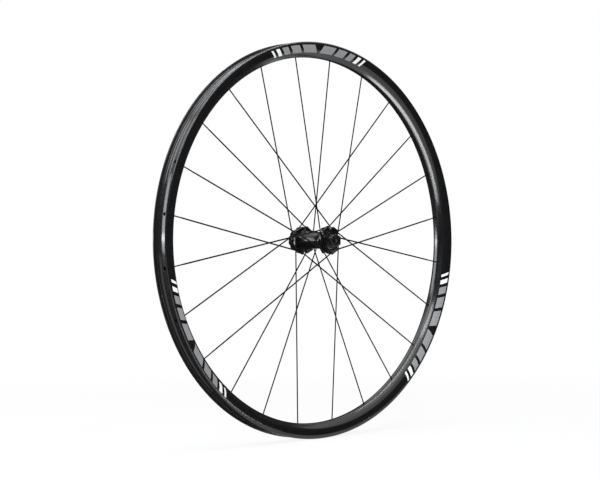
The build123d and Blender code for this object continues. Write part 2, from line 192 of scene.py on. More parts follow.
class StageSizes(bpy.types.PropertyGroup):
    """Camera and lights"""

    lens: FloatProperty(name="Lens", description="Focal length", default=98.015, unit="CAMERA")
    eye: FloatVectorProperty(
        name="Eye",
        description="Place of the camera",
        default=(-1.816074, -1.887474, -0.001494),
        subtype="XYZ",
        precision=6,
    )
    look: FloatVectorProperty(
        name="Look",
        description="Direction in which the camera looks",
        default=(0.687196, 0.726471, 0.000823),
        subtype="DIRECTION",
        precision=6,
    )
    head: FloatVectorProperty(
        name="Head",
        description="The camera's upward direction",
        default=(0.003908, -0.004829, 0.999981),
        subtype="DIRECTION",
        precision=6,
    )
    tint: colour("Tint", "Colour of the lamps", (0.96, 0.98, 1.0))
    floor_size: length("Floor size", "Width of the floor", 14.0)
    fill: FloatProperty(name="Fill", description="Strength of the room's light", default=0.3, min=0)


# Modelling helpers


def polar(radius, turn, y=0.0):
    """The point at a radius and an angle about the axle, 0 forwards and pi/2 up."""
    return Vector((radius * cos(turn), y, radius * sin(turn)))


def start_piece(name):
    """A new mesh object in edit mode that holds one vertex, at the origin."""
    bpy.ops.object.select_all(action="DESELECT")
    bpy.ops.mesh.primitive_plane_add(size=MM, location=(0, 0, 0))
    piece = bpy.context.object
    piece.name = name
    piece.data.name = name
    bpy.ops.object.mode_set(mode="EDIT")
    bpy.ops.mesh.select_all(action="SELECT")
    bpy.ops.mesh.merge(type="CENTER")
    return piece


def draw_line(points):
    """Draws a line of vertices through points from the one vertex of a new piece."""
    place = Vector((0, 0, 0))
    for number, point in enumerate(points):
        step = {"value": Vector(point) - place}
        if number == 0:
            bpy.ops.transform.translate(**step)
        else:
            bpy.ops.mesh.extrude_region_move(TRANSFORM_OT_translate=step)
        place = Vector(point)


def select_where(piece, test):
    """Selects the vertices of the piece in edit mode whose place passes a test."""
    bpy.ops.mesh.select_all(action="DESELECT")
    bpy.ops.mesh.select_mode(type="VERT")
    work = bmesh.from_edit_mesh(piece.data)
    for vertex in work.verts:
        vertex.select_set(test(vertex.co))
    work.select_flush_mode()
    bmesh.update_edit_mesh(piece.data)


def end_edit(inside=False):
    """Merges doubles, turns the faces out, or in for the wall of a hollow, and leaves edit mode."""
    bpy.ops.mesh.select_all(action="SELECT")
    bpy.ops.mesh.remove_doubles(threshold=MERGE)
    bpy.ops.mesh.normals_make_consistent(inside=inside)
    bpy.ops.object.mode_set(mode="OBJECT")


def only(piece):
    """Makes a piece the only selected object, and the active one."""
    bpy.ops.object.select_all(action="DESELECT")
    piece.select_set(True)
    bpy.context.view_layer.objects.active = piece


def join(pieces):
    """Joins pieces into the first of them."""
    only(pieces[0])
    for piece in pieces:
        piece.select_set(True)
    bpy.ops.object.join()
    return pieces[0]


def apply_modifier(piece, kind, **settings):
    """Adds a modifier with its settings and applies it."""
    only(piece)
    modifier = piece.modifiers.new(kind.title(), kind)
    for key, value in settings.items():
        setattr(modifier, key, value)
    bpy.ops.object.modifier_apply(modifier=modifier.name)


def smooth(piece, sharp):
    """Shades a piece smooth, apart from the edges that are sharper than an angle."""
    only(piece)
    bpy.ops.object.shade_smooth_by_angle(angle=sharp)


def turned(name, outline, roundings, steps, inside=False):
    """A piece turned about the axle from a closed outline of (radius, place along the axle).

    Roundings are (radius of a corner, its place to either side, width).
    """
    piece = start_piece(name)
    draw_line([(radius, y, 0) for radius, y in outline])
    bpy.ops.mesh.select_all(action="SELECT")
    bpy.ops.mesh.edge_face_add()
    for radius, y, width in roundings:
        select_where(piece, lambda co: abs(co.x - radius) < NEAR and abs(abs(co.y) - y) < NEAR)
        bpy.ops.mesh.bevel(offset=width, segments=ROUNDING_STEPS, affect="VERTICES", clamp_overlap=True)
    bpy.ops.mesh.select_all(action="SELECT")
    bpy.ops.mesh.delete(type="ONLY_FACE")
    bpy.ops.mesh.select_all(action="SELECT")
    bpy.ops.mesh.spin(steps=steps, angle=FULL_TURN, center=(0, 0, 0), axis=AXLE)
    end_edit(inside)
    return piece


def dress(piece, body, material, nodes=()):
    """Gives a piece its material and the body that it rides on, and hides the nodes it stands for."""
    piece.data.materials.clear()
    piece.data.materials.append(material)
    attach(piece, body)
    if nodes:
        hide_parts(*nodes)


def finished_copy(node, edge, sharp):
    """A copy of a solid with merged faces, broken edges and smooth shading."""
    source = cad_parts[node]
    mesh = source.data.copy()
    mesh.name = node + "_finished"
    piece = bpy.data.objects.new(node + "_finished", mesh)
    bpy.context.scene.collection.objects.link(piece)
    only(piece)
    bpy.ops.object.mode_set(mode="EDIT")
    bpy.ops.mesh.select_all(action="SELECT")
    bpy.ops.mesh.customdata_custom_splitnormals_clear()
    bpy.ops.mesh.remove_doubles(threshold=MERGE)
    bpy.ops.mesh.dissolve_limited(angle_limit=FLAT)
    bpy.ops.object.mode_set(mode="OBJECT")
    apply_modifier(
        piece,
        "BEVEL",
        width=edge,
        segments=EDGE_STEPS,
        limit_method="ANGLE",
        angle_limit=sharp,
        use_clamp_overlap=True,
    )
    smooth(piece, sharp)
    return piece


# Materials


FLOAT = "NodeSocketFloat"
VECTOR = "NodeSocketVector"
# Sockets of a Mix node of colours, by number, because other kinds of Mix use the same names.
MIX_FIRST = 6
MIX_SECOND = 7
MIX_RESULT = 2
DULL = {"Specular IOR Level": 0.12}
SATIN = {"Specular IOR Level": 0.42}
LACQUER = {"Coat Weight": 0.85, "Coat Roughness": 0.13, **DULL}
# Roughness, fineness of the grain in 1/m, strength of grain and of smudges, and bump of each finish.
GRAINS = {
    "bar_film": (0.42, 1500, 0.12, 0.08, 0.05),
    "accent_film": (0.40, 1500, 0.06, 0.04, 0.05),
    "blackened_steel": (0.30, 1200, 0.25, 0.15, 0.05),
    "black_anodised": (0.2, 2500, 0.2, 0.15, 0.04),
    "cap_anodised": (0.26, 2500, 0.2, 0.15, 0.08),
    "bare_alloy": (0.35, 1500, 0.15, 0.15, 0.05),
    "bearing": (0.28, 900, 0.3, 0.1, 0.0),
}
GRAIN_DEPTH = 0.05 * MM
NOISE_MIDDLE = 0.5
# Fibres of the carbon: slants of the two layers in radians, how closely they change along and across the
# rim in 1/m, slope and offset of the tone and of the roughness that they give, and their bump.
FIBRE_SLANTS = (0.5, -0.5)
FIBRE_SCALE = (60, 1500, 1500)
FIBRE_TONE = (1.6, -0.6)
FIBRE_ROUGHNESS = (0.04, 0.22)
FIBRE_BUMP = {"Strength": 0.012, "Distance": 0.02 * MM}
# The tyre bed: how far it reaches in from the rim's top, how far it lies inside the sidewalls, and how
# much paler and duller than the lacquered carbon it is.
BED_DEPTH = 9 * MM
BED_INSET = 3.4 * MM
BED_PALER = 1.0
BED_DULLER = 0.15
# The bearings' seals: the radius of their middle, and half their width.
SEAL_MIDDLE = 11.7 * MM
SEAL_HALF = 1.35 * MM
# Distances at which the paper of the floor starts and ends to fade, and the share of white there.
FLOOR_FADE = {"From Min": 0.5, "From Max": 1.5, "To Min": 0.9, "To Max": 1.0}
GROUPS = {}


def add_node(tree, kind, place, **inputs):
    """A node at a place of the sheet, with plain values for its inputs by name."""
    node = tree.nodes.new(kind)
    node.location = place
    for key, value in inputs.items():
        node.inputs[key].default_value = value
    return node


def math_node(tree, operation, place, first, second=None, third=None):
    """A Math node whose inputs are sockets or numbers. Returns its output."""
    node = tree.nodes.new("ShaderNodeMath")
    node.operation = operation
    node.location = place
    for socket, value in zip(node.inputs, (first, second, third)):
        if value is None:
            continue
        if hasattr(value, "is_linked"):
            tree.links.new(value, socket)
        else:
            socket.default_value = value
    return node.outputs[0]


def group_tree(name, inputs, outputs):
    """A new shader node group with float or vector sockets, and its input and output nodes."""
    tree = bpy.data.node_groups.new(name, "ShaderNodeTree")
    for label, kind, value in inputs:
        socket = tree.interface.new_socket(label, in_out="INPUT", socket_type=kind)
        socket.default_value = value
    for label, kind in outputs:
        tree.interface.new_socket(label, in_out="OUTPUT", socket_type=kind)
    entry = tree.nodes.new("NodeGroupInput")
    entry.location = (-900, 0)
    leave = tree.nodes.new("NodeGroupOutput")
    leave.location = (700, 0)
    return tree, entry, leave


def wheel_place_group():
    """Where a point lies on the wheel: its radius, its place along the axle, and the rim unrolled."""
    tree, _, leave = group_tree(
        "Wheel Place",
        [],
        [("Radius", FLOAT), ("Along", FLOAT), ("Unrolled", VECTOR)],
    )
    coordinates = add_node(tree, "ShaderNodeTexCoord", (-900, -200))
    split = add_node(tree, "ShaderNodeSeparateXYZ", (-700, -200))
    tree.links.new(coordinates.outputs["Object"], split.inputs[0])
    x, y, z = (split.outputs[axis] for axis in "XYZ")
    turn = math_node(tree, "ARCTAN2", (-500, 100), z, x)
    x_square = math_node(tree, "MULTIPLY", (-500, -100), x, x)
    square = math_node(tree, "MULTIPLY_ADD", (-300, -100), z, z, x_square)
    radius = math_node(tree, "SQRT", (-100, -100), square)
    arc = math_node(tree, "MULTIPLY", (100, -300), turn, RIM_TOP.z)
    unrolled = add_node(tree, "ShaderNodeCombineXYZ", (300, -200))
    for source, socket in zip((arc, y, radius), unrolled.inputs):
        tree.links.new(source, socket)
    tree.links.new(radius, leave.inputs["Radius"])
    tree.links.new(y, leave.inputs["Along"])
    tree.links.new(unrolled.outputs[0], leave.inputs["Unrolled"])
    return tree


def surface_grain_group():
    """Fine grain and broad smudges of a surface, as factors round 1 and a height."""
    tree, entry, leave = group_tree(
        "Surface Grain",
        [
            ("Vector", VECTOR, (0, 0, 0)),
            ("Grain Scale", FLOAT, 2000),
            ("Smudge Scale", FLOAT, 40),
            ("Grain", FLOAT, 0.2),
            ("Smudge", FLOAT, 0.15),
        ],
        [("Factor", FLOAT), ("Height", FLOAT)],
    )
    noises = []
    parts = []
    for number, amount in enumerate(("Grain", "Smudge")):
        row = 200 - 300 * number
        noise = add_node(tree, "ShaderNodeTexNoise", (-600, row), Detail=3.0)
        tree.links.new(entry.outputs["Vector"], noise.inputs["Vector"])
        tree.links.new(entry.outputs[amount + " Scale"], noise.inputs["Scale"])
        centred = math_node(tree, "SUBTRACT", (-400, row), noise.outputs[0], NOISE_MIDDLE)
        parts.append(math_node(tree, "MULTIPLY", (-200, row), centred, entry.outputs[amount]))
        noises.append(noise)
    both = math_node(tree, "ADD", (0, 0), *parts)
    # The middle of the noise leaves a colour as it is, and its ends change it by the whole strength.
    factor = math_node(tree, "MULTIPLY_ADD", (200, 0), both, 2.0, 1.0)
    tree.links.new(factor, leave.inputs["Factor"])
    tree.links.new(noises[0].outputs[0], leave.inputs["Height"])
    return tree


def placed_group(tree, maker, place):
    """A node of a shared group, which is built the first time that it is used."""
    if maker not in GROUPS:
        GROUPS[maker] = maker()
    node = tree.nodes.new("ShaderNodeGroup")
    node.node_tree = GROUPS[maker]
    node.location = place
    return node


def new_material(name, base, **sockets):
    """A material with a Principled BSDF. Plain values are set on the shader's own sockets."""
    material = bpy.data.materials.new(name)
    material.use_nodes = True
    tree = material.node_tree
    shader = tree.nodes["Principled BSDF"]
    shader.inputs["Base Color"].default_value = (*base, 1)
    for key, value in sockets.items():
        shader.inputs[key].default_value = value
    return material, tree, shader


def scaled_colour(tree, base, factor, place):
    """A colour times a factor that changes over the surface."""
    node = tree.nodes.new("ShaderNodeVectorMath")
    node.operation = "SCALE"
    node.location = place
    node.inputs[0].default_value = base
    tree.links.new(factor, node.inputs["Scale"])
    return node.outputs[0]


def grained_material(name, base, **sockets):
    """A finish with grain and smudges in its colour and gloss, and a fine bump."""
    roughness, grain_scale, grain, smudge, bump = GRAINS[name]
    material, tree, shader = new_material(name, base, **sockets)
    coordinates = add_node(tree, "ShaderNodeTexCoord", (-1100, 0))
    texture = placed_group(tree, surface_grain_group, (-800, 0))
    tree.links.new(coordinates.outputs["Object"], texture.inputs["Vector"])
    texture.inputs["Grain Scale"].default_value = grain_scale
    texture.inputs["Grain"].default_value = grain
    texture.inputs["Smudge"].default_value = smudge
    factor = texture.outputs["Factor"]
    tree.links.new(scaled_colour(tree, base, factor, (-400, 200)), shader.inputs["Base Color"])
    rough = math_node(tree, "MULTIPLY", (-400, 0), factor, roughness)
    tree.links.new(rough, shader.inputs["Roughness"])
    if bump:
        node = add_node(tree, "ShaderNodeBump", (-300, -300), Strength=bump, Distance=GRAIN_DEPTH)
        tree.links.new(texture.outputs["Height"], node.inputs["Height"])
        tree.links.new(node.outputs[0], shader.inputs["Normal"])
    return material


def carbon_material(base):
    """Lacquered carbon: fine fibres laid in two slants along the rim, and a tyre bed left dull."""
    material, tree, shader = new_material("lacquered_carbon", base, **LACQUER)
    place = placed_group(tree, wheel_place_group, (-1500, 0))
    layers = []
    for number, slant in enumerate(FIBRE_SLANTS):
        row = 200 - 400 * number
        mapping = add_node(
            tree, "ShaderNodeMapping", (-1250, row), Rotation=(0, 0, slant), Scale=FIBRE_SCALE
        )
        tree.links.new(place.outputs["Unrolled"], mapping.inputs["Vector"])
        noise = add_node(tree, "ShaderNodeTexNoise", (-1000, row), Scale=1.0, Detail=4.0)
        tree.links.new(mapping.outputs[0], noise.inputs["Vector"])
        layers.append(noise.outputs[0])
    fibres = math_node(tree, "ADD", (-750, 0), *layers)
    far_out = math_node(
        tree, "GREATER_THAN", (-750, -300), place.outputs["Radius"], RIM_TOP.z - BED_DEPTH
    )
    aside = math_node(tree, "ABSOLUTE", (-950, -500), place.outputs["Along"])
    between = math_node(tree, "LESS_THAN", (-750, -500), aside, RIM_TOP.y - BED_INSET)
    bed = math_node(tree, "MULTIPLY", (-550, -400), far_out, between)
    tone = math_node(tree, "MULTIPLY_ADD", (-550, 200), fibres, *FIBRE_TONE)
    paler = math_node(tree, "MULTIPLY_ADD", (-550, 400), bed, BED_PALER, 1.0)
    tone = math_node(tree, "MULTIPLY", (-450, 300), tone, paler)
    tree.links.new(scaled_colour(tree, base, tone, (-350, 200)), shader.inputs["Base Color"])
    rough = math_node(tree, "MULTIPLY_ADD", (-550, -100), fibres, *FIBRE_ROUGHNESS)
    rough = math_node(tree, "MULTIPLY_ADD", (-350, -100), bed, BED_DULLER, rough)
    tree.links.new(rough, shader.inputs["Roughness"])
    bump = add_node(tree, "ShaderNodeBump", (-300, -400), **FIBRE_BUMP)
    tree.links.new(fibres, bump.inputs["Height"])
    tree.links.new(bump.outputs[0], shader.inputs["Normal"])
    return material


def bearing_material(steel, seal):
    """Ground steel rings with a rubber seal between them."""
    material = grained_material("bearing", steel)
    tree = material.node_tree
    shader = tree.nodes["Principled BSDF"]
    place = placed_group(tree, wheel_place_group, (-1500, -600))
    away = math_node(tree, "SUBTRACT", (-1300, -600), place.outputs["Radius"], SEAL_MIDDLE)
    away = math_node(tree, "ABSOLUTE", (-1100, -600), away)
    metal = math_node(tree, "GREATER_THAN", (-900, -600), away, SEAL_HALF)
    mix = tree.nodes.new("ShaderNodeMix")
    mix.data_type = "RGBA"
    mix.location = (-150, 400)
    tree.links.new(metal, mix.inputs["Factor"])
    mix.inputs[MIX_FIRST].default_value = (*seal, 1)
    tree.links.new(shader.inputs["Base Color"].links[0].from_socket, mix.inputs[MIX_SECOND])
    tree.links.new(mix.outputs[MIX_RESULT], shader.inputs["Base Color"])
    tree.links.new(metal, shader.inputs["Metallic"])
    return material


def seen_rays(tree, place):
    """One for the rays that show the background: from the camera, off gloss and through glass."""
    x, y = place
    rays = add_node(tree, "ShaderNodeLightPath", place).outputs
    seen = math_node(tree, "MAXIMUM", (x + 200, y), rays["Is Camera Ray"], rays["Is Glossy Ray"])
    return math_node(tree, "MAXIMUM", (x + 400, y), seen, rays["Is Transmission Ray"])


def stage_material(name, base):
    """Pale paper with the object's soft shadow on it, that fades into the white room."""
    material, tree, shader = new_material(name, base, Roughness=0.9)
    coordinates = add_node(tree, "ShaderNodeTexCoord", (-1000, 0))
    away = add_node(tree, "ShaderNodeVectorMath", (-800, 0))
    away.operation = "LENGTH"
    tree.links.new(coordinates.outputs["Object"], away.inputs[0])
    fade = add_node(tree, "ShaderNodeMapRange", (-600, 0), **FLOOR_FADE)
    fade.interpolation_type = "SMOOTHSTEP"
    tree.links.new(away.outputs["Value"], fade.inputs["Value"])
    share = math_node(tree, "MULTIPLY", (0, 400), seen_rays(tree, (-600, 400)), fade.outputs[0])
    white = add_node(tree, "ShaderNodeEmission", (0, 200), Strength=1.0)
    mix = add_node(tree, "ShaderNodeMixShader", (300, 300))
    tree.links.new(share, mix.inputs[0])
    tree.links.new(shader.outputs[0], mix.inputs[1])
    tree.links.new(white.outputs[0], mix.inputs[2])
    tree.links.new(mix.outputs[0], tree.nodes["Material Output"].inputs["Surface"])
    return material


# Pieces


class WHEEL_OT_rim(bpy.types.Operator):
    """Turn the hollow rim and drill its holes"""

    bl_idname = "wheel.rim"
    bl_label = "Rim"

    # Facets of a flank, of a nose and of a hole.
    flank_steps = 12
    nose_steps = 10
    hole_sides = 32
    # Where the cutters start: back from a spoke's tip, and out from the middle of the hollow.
    spoke_cut = 14 * MM
    access_cut = 3 * MM

    def outer_outline(self, rim):
        """The left half of the rim's section, mirrored to a whole one."""
        shelf = rim.radius - rim.wall_height
        half_inner = rim.half_width - rim.wall
        half_well = rim.well_width / 2
        widest = rim.radius - rim.edge - rim.straight
        nose = (rim.radius - rim.depth + rim.nose_radius, rim.bed_width / 2)
        rise, spread = widest - nose[0], rim.half_width - nose[1]
        turn = rim.nose_turn
        shoulder = (rim.nose_radius + rise * cos(turn) - spread * sin(turn)) / (1 - sin(turn))
        half = [
            (shelf - rim.well_depth, half_well),
            (shelf, half_well + rim.well_slope),
            (shelf, half_inner),
            (rim.radius, half_inner),
            (rim.radius, rim.half_width - rim.edge),
            (rim.radius - rim.edge, rim.half_width),
        ]
        flank = (widest, rim.half_width - shoulder)
        half += self.arc(flank, shoulder, pi / 2, pi / 2 - turn, self.flank_steps)
        half += self.arc(nose, rim.nose_radius, pi - turn, turn, self.nose_steps)
        return half + [(radius, -y) for radius, y in reversed(half)]

    def arc(self, centre, radius, start, sweep, segments):
        """Points along an arc of the section."""
        turns = [start + sweep * step / segments for step in range(segments + 1)]
        return [(centre[0] + radius * cos(turn), centre[1] + radius * sin(turn)) for turn in turns]

    def hollow_outline(self, rim):
        """The section of the hollow between spoke bed, flanks and tyre bed."""
        half_roof = rim.half_width - rim.wall
        nose = rim.radius - rim.depth + rim.nose_radius
        offset = rim.nose_radius - rim.skin
        floor = rim.radius - rim.depth + rim.bed_skin
        roof = rim.radius - rim.wall_height - rim.well_depth - rim.skin
        turn = rim.nose_turn
        half_floor = rim.bed_width / 2 + (offset + (floor - nose) * cos(turn)) / sin(turn)
        corner = nose + ((half_roof - rim.bed_width / 2) * sin(turn) - offset) / cos(turn)
        half = [(floor, half_floor), (corner, half_roof), (roof, half_roof)]
        return half + [(radius, -y) for radius, y in reversed(half)]

    def hole(self, radius, start, end):
        """A cutter for a round hole between two points."""
        bpy.ops.object.select_all(action="DESELECT")
        run = end - start
        bpy.ops.mesh.primitive_cylinder_add(
            vertices=self.hole_sides,
            radius=radius,
            depth=run.length,
            location=(start + end) / 2,
            rotation=run.to_track_quat("Z", "Y").to_euler(),
        )
        return bpy.context.object

    def execute(self, context):
        rim = context.scene.wheel_rim
        shelf = rim.radius - rim.wall_height
        bed = rim.radius - rim.depth
        half_inner = rim.half_width - rim.wall
        roundings = [
            (shelf - rim.well_depth, rim.well_width / 2, rim.well_rounding),
            (shelf, rim.well_width / 2 + rim.well_slope, rim.slope_rounding),
            (shelf, half_inner, rim.seat_rounding),
            (rim.radius, half_inner, rim.top_rounding),
            (rim.radius, rim.half_width - rim.edge, rim.edge_rounding),
            (rim.radius - rim.edge, rim.half_width, rim.edge_rounding),
        ]
        piece = turned("rim_moulded", self.outer_outline(rim), roundings, rim.steps)
        hollow = turned("rim_hollow", self.hollow_outline(rim), [], rim.steps, inside=True)
        join([piece, hollow])
        access_start = (bed + shelf) / 2 + self.access_cut
        cutters = [
            self.hole(
                rim.valve_hole,
                polar(bed - rim.bed_skin, rim.valve_angle),
                polar(rim.radius, rim.valve_angle),
            )
        ]
        for name in SPOKE_NODES:
            head, tip = spoke_ends(name)
            run = (tip - head).normalized()
            cutters.append(self.hole(rim.spoke_hole, tip - run * self.spoke_cut, tip))
            at_bed = head + run * spoke_reach(head, run, bed)
            turn = atan2(at_bed.z, at_bed.x)
            cutters.append(self.hole(rim.access_hole, polar(access_start, turn), polar(rim.radius, turn)))
        cutter = join(cutters)
        apply_modifier(piece, "BOOLEAN", operation="DIFFERENCE", solver="EXACT", object=cutter)
        bpy.data.objects.remove(cutter)
        smooth(piece, SMOOTH)
        material = carbon_material(context.scene.wheel_finishes.carbon)
        dress(piece, "wheel", material, ["rim"])
        return {"FINISHED"}


def spoke_ends(node):
    """The middles of a solid spoke's two end faces: the head's and the threaded tip's."""
    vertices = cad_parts[node].data.vertices
    points = {tuple(round(c, PLACE_DIGITS) for c in vertex.co) for vertex in vertices}
    points = [Vector(point) for point in points]
    tip = max(points, key=lambda p: hypot(p.x, p.z))
    head = max(points, key=lambda p: (p - tip).length)
    run = (tip - head).normalized()
    ordered = sorted(points, key=run.dot)
    ends = ordered[:SOLID_SIDES], ordered[-SOLID_SIDES:]
    return [sum(end, Vector()) / len(end) for end in ends]


def spoke_reach(start, run, radius):
    """How far along its run from a start a spoke comes to a radius about the axle."""
    a = run.x**2 + run.z**2
    b = start.x * run.x + start.z * run.z
    c = start.x**2 + start.z**2 - radius**2
    return (-b + (b * b - a * c) ** 0.5) / a


class WHEEL_OT_rim_marks(bpy.types.Operator):
    """Lay the film of slanted bars on both sidewalls"""

    bl_idname = "wheel.rim_marks"
    bl_label = "Rim marks"

    # Widths of the bars of half a group in degrees, from its middle outwards, and how many are large.
    widths = (5.2, 3.6, 2.4, 1.4, 0.8)
    large = 3
    groups = 3
    # Facets across a bar, the angle of one along it, and the film's share of its lift over the rim.
    rows = 12
    step = radians(0.4)
    film = 0.9

    def bar(self, marks, start, width, hand, side):
        """One flat bar beside the rim: a slanted line of vertices, spun about the axle."""
        piece = start_piece("bar")
        points = []
        for row in range(self.rows + 1):
            share = row / self.rows
            radius = marks.inner + (marks.outer - marks.inner) * share
            points.append(polar(radius, start + hand * marks.slant * share, side * 2 * RIM_TOP.y))
        draw_line(points)
        bpy.ops.mesh.select_all(action="SELECT")
        steps = max(2, round(width / self.step))
        bpy.ops.mesh.spin(steps=steps, angle=hand * width, center=(0, 0, 0), axis=AXLE)
        end_edit()
        return piece

    def lay(self, piece, marks, rim, side):
        """Lays flat bars on a sidewall and gives them the thickness of a film."""
        apply_modifier(
            piece,
            "SHRINKWRAP",
            target=rim,
            wrap_method="PROJECT",
            use_project_y=True,
            use_positive_direction=side < 0,
            use_negative_direction=side > 0,
            offset=marks.lift,
        )
        only(piece)
        bpy.ops.object.mode_set(mode="EDIT")
        bpy.ops.mesh.select_all(action="SELECT")
        bpy.ops.mesh.normals_make_consistent(inside=False)
        bpy.ops.object.mode_set(mode="OBJECT")
        if piece.data.polygons[0].normal.y * side < 0:
            piece.data.flip_normals()
        apply_modifier(piece, "SOLIDIFY", thickness=marks.lift * self.film, offset=-1)
        smooth(piece, SMOOTH)

    def execute(self, context):
        marks = context.scene.wheel_marks
        finishes = context.scene.wheel_finishes
        rim = bpy.data.objects["rim_moulded"]
        materials = {
            "bars": grained_material("bar_film", finishes.bar, **DULL),
            "accents": grained_material("accent_film", finishes.accent, **DULL),
        }
        for side, side_name in ((-1, "right"), (1, "left")):
            kinds = {"bars": [], "accents": []}
            for group in range(self.groups):
                middle = marks.first + group * FULL_TURN / self.groups
                for hand in (1, -1):
                    start = middle + hand * marks.gap / 2
                    for number, degrees in enumerate(self.widths):
                        kind = "bars" if number < self.large else "accents"
                        kinds[kind].append(self.bar(marks, start, radians(degrees), hand, side))
                        start += hand * (radians(degrees) + marks.gap)
            for kind, pieces in kinds.items():
                piece = join(pieces)
                piece.name = f"{side_name}_sidewall_{kind}"
                self.lay(piece, marks, rim, side)
                dress(piece, "wheel", materials[kind])
        return {"FINISHED"}


class WHEEL_OT_spokes(bpy.types.Operator):
    """Draw one bladed spoke and lace copies of it"""

    bl_idname = "wheel.spokes"
    bl_label = "Spokes"

    # The head's outline and the start of the shank under it, as shares of its thickness and radius.
    head_outline = ((0, 0.72), (0.12, 0.93), (0.3, 1), (0.9, 1), (1, 0.93))
    under_head = 1.001
    # Steps of a taper, the tip's broken edge as a share of its radius, and the angle that stays crisp.
    taper_steps = 8
    tip_edge = 0.2
    crisp = radians(40)

    def stations(self, spoke, reach):
        """Places along a spoke from the head's end, each with half a width and half a thickness."""
        head, shank = spoke.head_radius, spoke.radius
        places = [(along * spoke.head, out * head, out * head) for along, out in self.head_outline]
        places.append((self.under_head * spoke.head, shank, shank))
        change = []
        for step in range(self.taper_steps + 1):
            along = step / self.taper_steps
            share = (1 - cos(pi * along)) / 2
            flat = shank + (spoke.blade_width - shank) * share
            thin = shank + (spoke.blade_thickness - shank) * share
            change.append((along, flat, thin))
        places += [(spoke.round_at_hub + spoke.taper * t, w, h) for t, w, h in change]
        places += [(reach - spoke.round_at_rim - spoke.taper * t, w, h) for t, w, h in reversed(change)]
        places.append((reach - self.tip_edge * shank, shank, shank))
        tip = (1 - self.tip_edge) * shank
        places.append((reach, tip, tip))
        return places

    def pattern(self, spoke, reach):
        """One spoke along Z, its head's end at the origin."""
        stations = self.stations(spoke, reach)
        bpy.ops.object.select_all(action="DESELECT")
        bpy.ops.mesh.primitive_circle_add(
            vertices=spoke.sides, radius=stations[0][1], fill_type="NGON", location=(0, 0, 0)
        )
        piece = bpy.context.object
        bpy.ops.object.mode_set(mode="EDIT")
        bpy.ops.mesh.select_all(action="SELECT")
        for before, after in zip(stations, stations[1:]):
            rise = (0, 0, after[0] - before[0])
            bpy.ops.mesh.extrude_region_move(TRANSFORM_OT_translate={"value": rise})
            bpy.ops.transform.resize(
                value=(after[1] / before[1], after[2] / before[2], 1), center_override=(0, 0, after[0])
            )
        end_edit()
        smooth(piece, self.crisp)
        return piece

    def execute(self, context):
        spoke = context.scene.wheel_spokes
        material = grained_material("blackened_steel", context.scene.wheel_finishes.spoke, **DULL)
        ends = {name: spoke_ends(name) for name in SPOKE_NODES}
        rows = {}
        for name in SPOKE_NODES:
            rows.setdefault(name.rsplit("_", 1)[0], []).append(name)
        for names in rows.values():
            head, tip = ends[names[0]]
            pattern = self.pattern(spoke, (tip - head).length)
            for name in names:
                head, tip = ends[name]
                run = (tip - head).normalized()
                across = AXLE.cross(run).normalized()
                turn = Matrix((across, run.cross(across), run)).transposed().to_4x4()
                piece = pattern.copy()
                piece.data = pattern.data.copy()
                piece.name = name + "_bladed"
                piece.data.name = piece.name
                bpy.context.scene.collection.objects.link(piece)
                piece.data.transform(Matrix.Translation(head) @ turn)
                dress(piece, "wheel", material, [name])
            bpy.data.objects.remove(pattern)
        return {"FINISHED"}


class WHEEL_OT_hub(bpy.types.Operator):
    """Finish the hub shell's milled and turned edges"""

    bl_idname = "wheel.hub"
    bl_label = "Hub shell"

    def execute(self, context):
        hub = context.scene.wheel_hub
        piece = finished_copy("hub_shell", hub.shell_edge, hub.sharp)
        material = grained_material("black_anodised", context.scene.wheel_finishes.hub, **SATIN)
        dress(piece, "wheel", material, ["hub_shell"])
        return {"FINISHED"}


class WHEEL_OT_fittings(bpy.types.Operator):
    """Finish the axle, end caps, bearings and nipples"""

    bl_idname = "wheel.fittings"
    bl_label = "Axle fittings"

    def execute(self, context):
        hub = context.scene.wheel_hub
        finishes = context.scene.wheel_finishes
        cap = grained_material("cap_anodised", finishes.cap, **SATIN)
        alloy = grained_material("bare_alloy", finishes.alloy, Metallic=1.0)
        bearing = bearing_material(finishes.steel, finishes.seal)
        plan = (
            ("left_end_cap", "axle_set", cap, "cap_black"),
            ("right_end_cap", "axle_set", cap, "cap_black"),
            ("axle", "axle_set", alloy, "axle_alloy"),
            ("left_bearing_outer_ring", "wheel", bearing, "bearing_steel"),
            ("right_bearing_outer_ring", "wheel", bearing, "bearing_steel"),
            ("left_bearing_inner_ring", "axle_set", bearing, "bearing_steel"),
            ("right_bearing_inner_ring", "axle_set", bearing, "bearing_steel"),
        )
        for node, body, material, slot in plan:
            dress(finished_copy(node, hub.turned_edge, hub.sharp), body, material, [node])
        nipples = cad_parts["nipples"]
        nipples.data.materials.clear()
        nipples.data.materials.append(alloy)
        return {"FINISHED"}


# Stage


